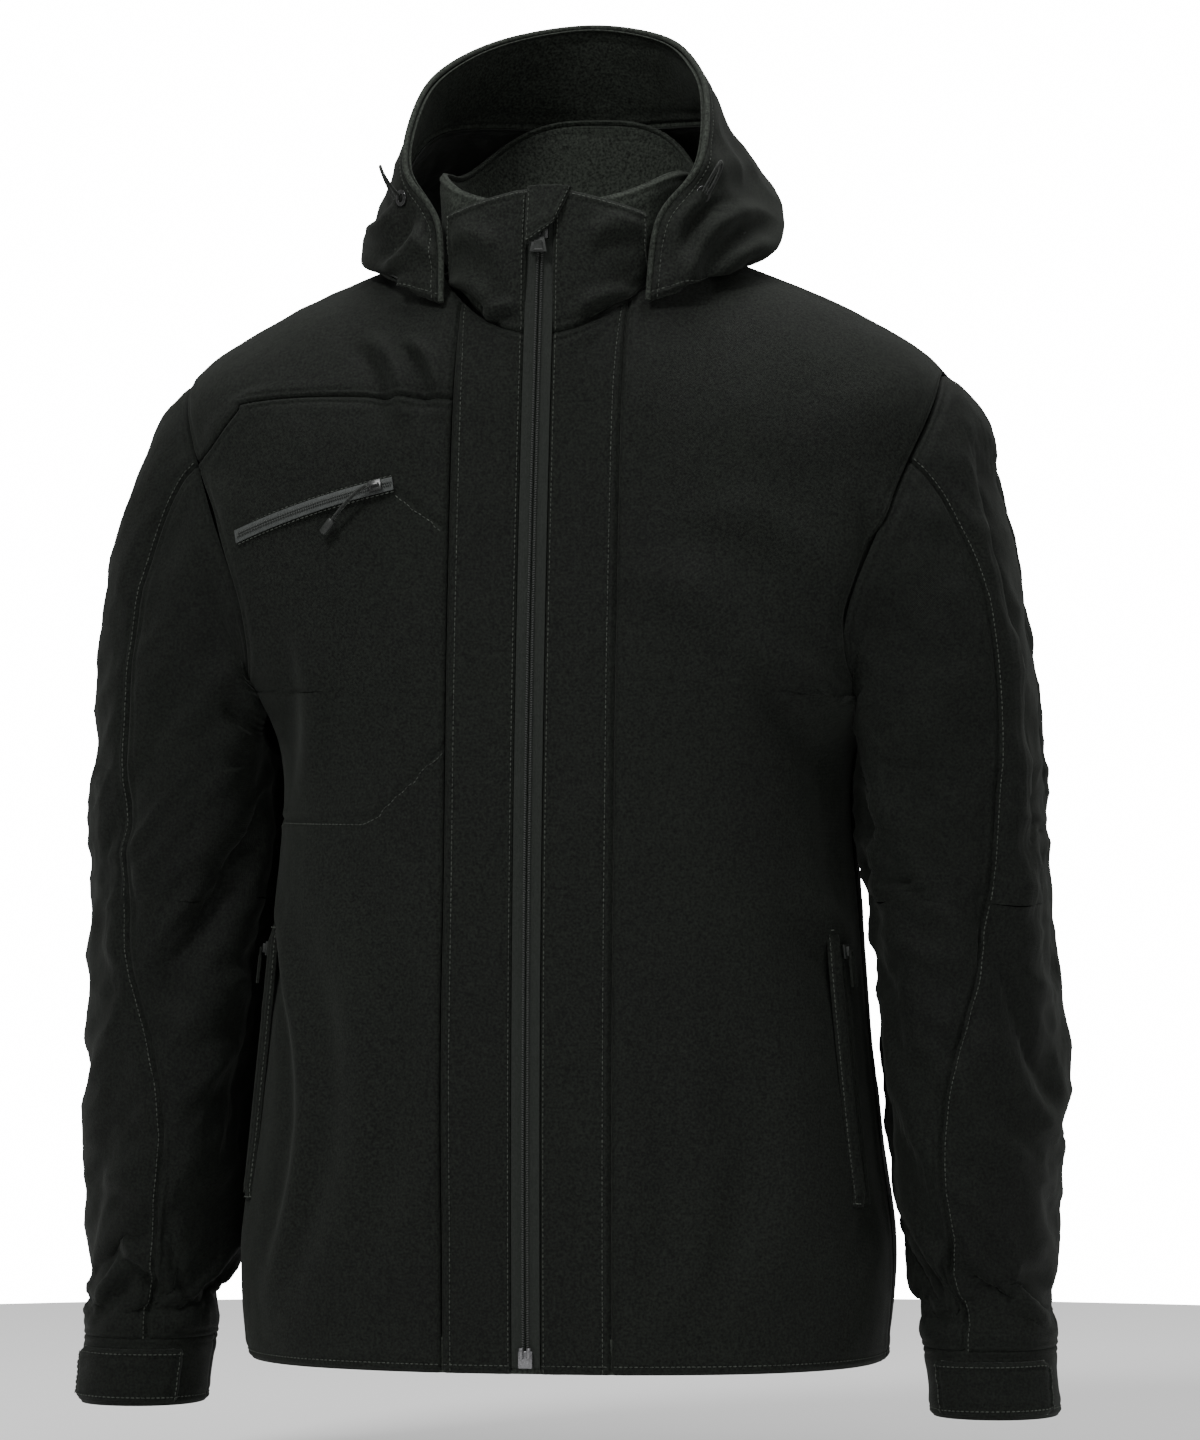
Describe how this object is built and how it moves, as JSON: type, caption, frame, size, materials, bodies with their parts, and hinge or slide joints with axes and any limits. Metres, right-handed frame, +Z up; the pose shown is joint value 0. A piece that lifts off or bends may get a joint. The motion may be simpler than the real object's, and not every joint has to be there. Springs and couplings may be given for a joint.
{
  "type": "ski jacket",
  "caption": "Black hooded insulated ski jacket with a full front zip, chest and hand pocket zips, raised hood, stand collar and cuffs with closing tabs, shaped as if worn with the arms down.",
  "frame": {"origin": "centre of the wearer's neck at the height where the shoulder seams meet the neck", "axes": "+Z up along the wearer's spine, -Y out of the front, +X to the wearer's left"},
  "size_m": [0.6476, 0.3141, 0.9032],
  "materials": {
    "shell": "matte black woven shell, faint green cast, fine grain",
    "sleeve_shell": "matte black woven shell",
    "collar_shell": "matte black woven shell",
    "hood_shell": "matte black woven shell",
    "lining": "smooth black lining, slight sheen",
    "insulation": "grey polyester wadding, hidden between shell and lining",
    "zip_tape": "charcoal woven tape, coated",
    "zip_coil": "charcoal nylon coil",
    "zip_metal": "black painted die-cast zinc",
    "retainer": "glossy grey moulded box",
    "puller": "moulded black rubber",
    "eyelet": "shiny black moulded ring",
    "cord": "black braided elastic cord",
    "hook_tape": "black hook and loop tape"
  },
  "bodies": {
    "torso": {"back_panel": "shell", "front_panel_left": "shell", "front_panel_right": "shell", "chest_yoke_right": "shell", "placket_left": "shell", "placket_right": "shell", "storm_flap": "shell", "insulation_back": "insulation", "insulation_left": "insulation", "insulation_right": "insulation", "body_lining": "lining", "collar_left": "collar_shell", "collar_right": "collar_shell", "collar_inner": "lining", "hanger_loop": "zip_tape", "main_zip_tape_left": "zip_tape", "main_zip_tape_right": "zip_tape", "main_zip_coil": "zip_coil", "zip_retainer_box": "retainer", "chest_zip_tape": "zip_tape", "chest_zip_coil": "zip_coil", "chest_pocket_bag": "lining", "hand_welt_left": "shell", "hand_welt_right": "shell", "hand_zip_left": "zip_tape", "hand_zip_right": "zip_tape", "hand_pocket_bag_left": "lining", "hand_pocket_bag_right": "lining"},
    "main_slider": {"main_zip_slider": "zip_metal"},
    "main_puller": {"main_zip_puller": "puller"},
    "garage": {"zip_garage": "shell"},
    "chest_slider": {"chest_zip_slider": "zip_metal"},
    "chest_puller": {"chest_cord": "cord", "chest_knot": "puller"},
    "hood": {"hood_centre": "hood_shell", "hood_side_left": "hood_shell", "hood_side_right": "hood_shell", "hood_facing": "hood_shell", "hood_lining": "lining", "hood_eyelets": "eyelet", "hood_cord_left": "cord", "hood_cord_right": "cord"},
    "hand_slider_body_left": {"hand_slider_left": "zip_metal"},
    "hand_puller_body_left": {"hand_puller_left": "puller"},
    "upper_arm_left": {"upper_sleeve_left": "sleeve_shell", "upper_sleeve_lining_left": "lining"},
    "lower_arm_left": {"forearm_left": "sleeve_shell", "forearm_lining_left": "lining", "cuff_left": "sleeve_shell", "cuff_patch_left": "hook_tape"},
    "tab_left": {"cuff_tab_left": "sleeve_shell"},
    "hand_slider_body_right": {"hand_slider_right": "zip_metal"},
    "hand_puller_body_right": {"hand_puller_right": "puller"},
    "upper_arm_right": {"upper_sleeve_right": "sleeve_shell", "upper_sleeve_lining_right": "lining"},
    "lower_arm_right": {"forearm_right": "sleeve_shell", "forearm_lining_right": "lining", "cuff_right": "sleeve_shell", "cuff_patch_right": "hook_tape"},
    "tab_right": {"cuff_tab_right": "sleeve_shell"}
  },
  "joints": [
    {"name": "main_zip_travel", "type": "hinge", "parent": "torso", "child": "main_slider", "pos_m": [0, 3.348, -0.59953], "axis": [1, 0, 0], "range_deg": [0, 11.4]},
    {"name": "main_puller_swing", "type": "hinge", "parent": "main_slider", "child": "main_puller", "pos_m": [0, -0.10534, 0.00759], "axis": [-1, 0, 0], "range_deg": [0, 110]},
    {"name": "garage_lift", "type": "hinge", "parent": "torso", "child": "garage", "pos_m": [0, -0.0962, 0.02526], "axis": [-1, 0, 0], "range_deg": [0, 115]},
    {"name": "chest_zip_travel", "type": "hinge", "parent": "torso", "child": "chest_slider", "pos_m": [-0.07272, 0.12603, -0.24865], "axis": [0.206, -0.3598, -0.91], "range_deg": [0, 15]},
    {"name": "chest_puller_swing", "type": "hinge", "parent": "chest_slider", "child": "chest_puller", "pos_m": [-0.1051, -0.1283, -0.1554], "axis": [-0.6109, 0.3339, 0.7179], "range_deg": [0, 75]},
    {"name": "hood_fold", "type": "hinge", "parent": "torso", "child": "hood", "pos_m": [0, 0.108, 0.03], "axis": [-1, 0, 0], "range_deg": [0, 90]},
    {"name": "hand_zip_travel_left", "type": "slide", "parent": "torso", "child": "hand_slider_body_left", "axis": [0.1023, -0.008, -0.9947], "range_m": [0, 0.148]},
    {"name": "hand_puller_swing_left", "type": "hinge", "parent": "hand_slider_body_left", "child": "hand_puller_body_left", "pos_m": [0.19321, -0.05523, -0.45243], "axis": [-0.2803, -0.9597, -0.0212], "range_deg": [0, 120]},
    {"name": "shoulder_left", "type": "hinge", "parent": "torso", "child": "upper_arm_left", "pos_m": [0.2455, 0, -0.082], "axis": [0, -1, 0], "range_deg": [0, 75]},
    {"name": "elbow_left", "type": "hinge", "parent": "upper_arm_left", "child": "lower_arm_left", "pos_m": [0.258, -0.064, -0.432], "axis": [-1, 0, 0], "range_deg": [0, 90]},
    {"name": "tab_peel_left", "type": "hinge", "parent": "lower_arm_left", "child": "tab_left", "pos_m": [0.2481, -0.051, -0.733], "axis": [0.113, -0.045, -0.9926], "range_deg": [0, 100]},
    {"name": "hand_zip_travel_right", "type": "slide", "parent": "torso", "child": "hand_slider_body_right", "axis": [-0.1023, -0.008, -0.9947], "range_m": [0, 0.148]},
    {"name": "hand_puller_swing_right", "type": "hinge", "parent": "hand_slider_body_right", "child": "hand_puller_body_right", "pos_m": [-0.19321, -0.05523, -0.45243], "axis": [-0.2803, 0.9597, 0.0212], "range_deg": [0, 120]},
    {"name": "shoulder_right", "type": "hinge", "parent": "torso", "child": "upper_arm_right", "pos_m": [-0.2455, 0, -0.082], "axis": [0, 1, 0], "range_deg": [0, 75]},
    {"name": "elbow_right", "type": "hinge", "parent": "upper_arm_right", "child": "lower_arm_right", "pos_m": [-0.258, -0.064, -0.432], "axis": [-1, 0, 0], "range_deg": [0, 90]},
    {"name": "tab_peel_right", "type": "hinge", "parent": "lower_arm_right", "child": "tab_right", "pos_m": [-0.2481, -0.051, -0.733], "axis": [0.113, 0.045, 0.9926], "range_deg": [0, 100]}
  ]
}
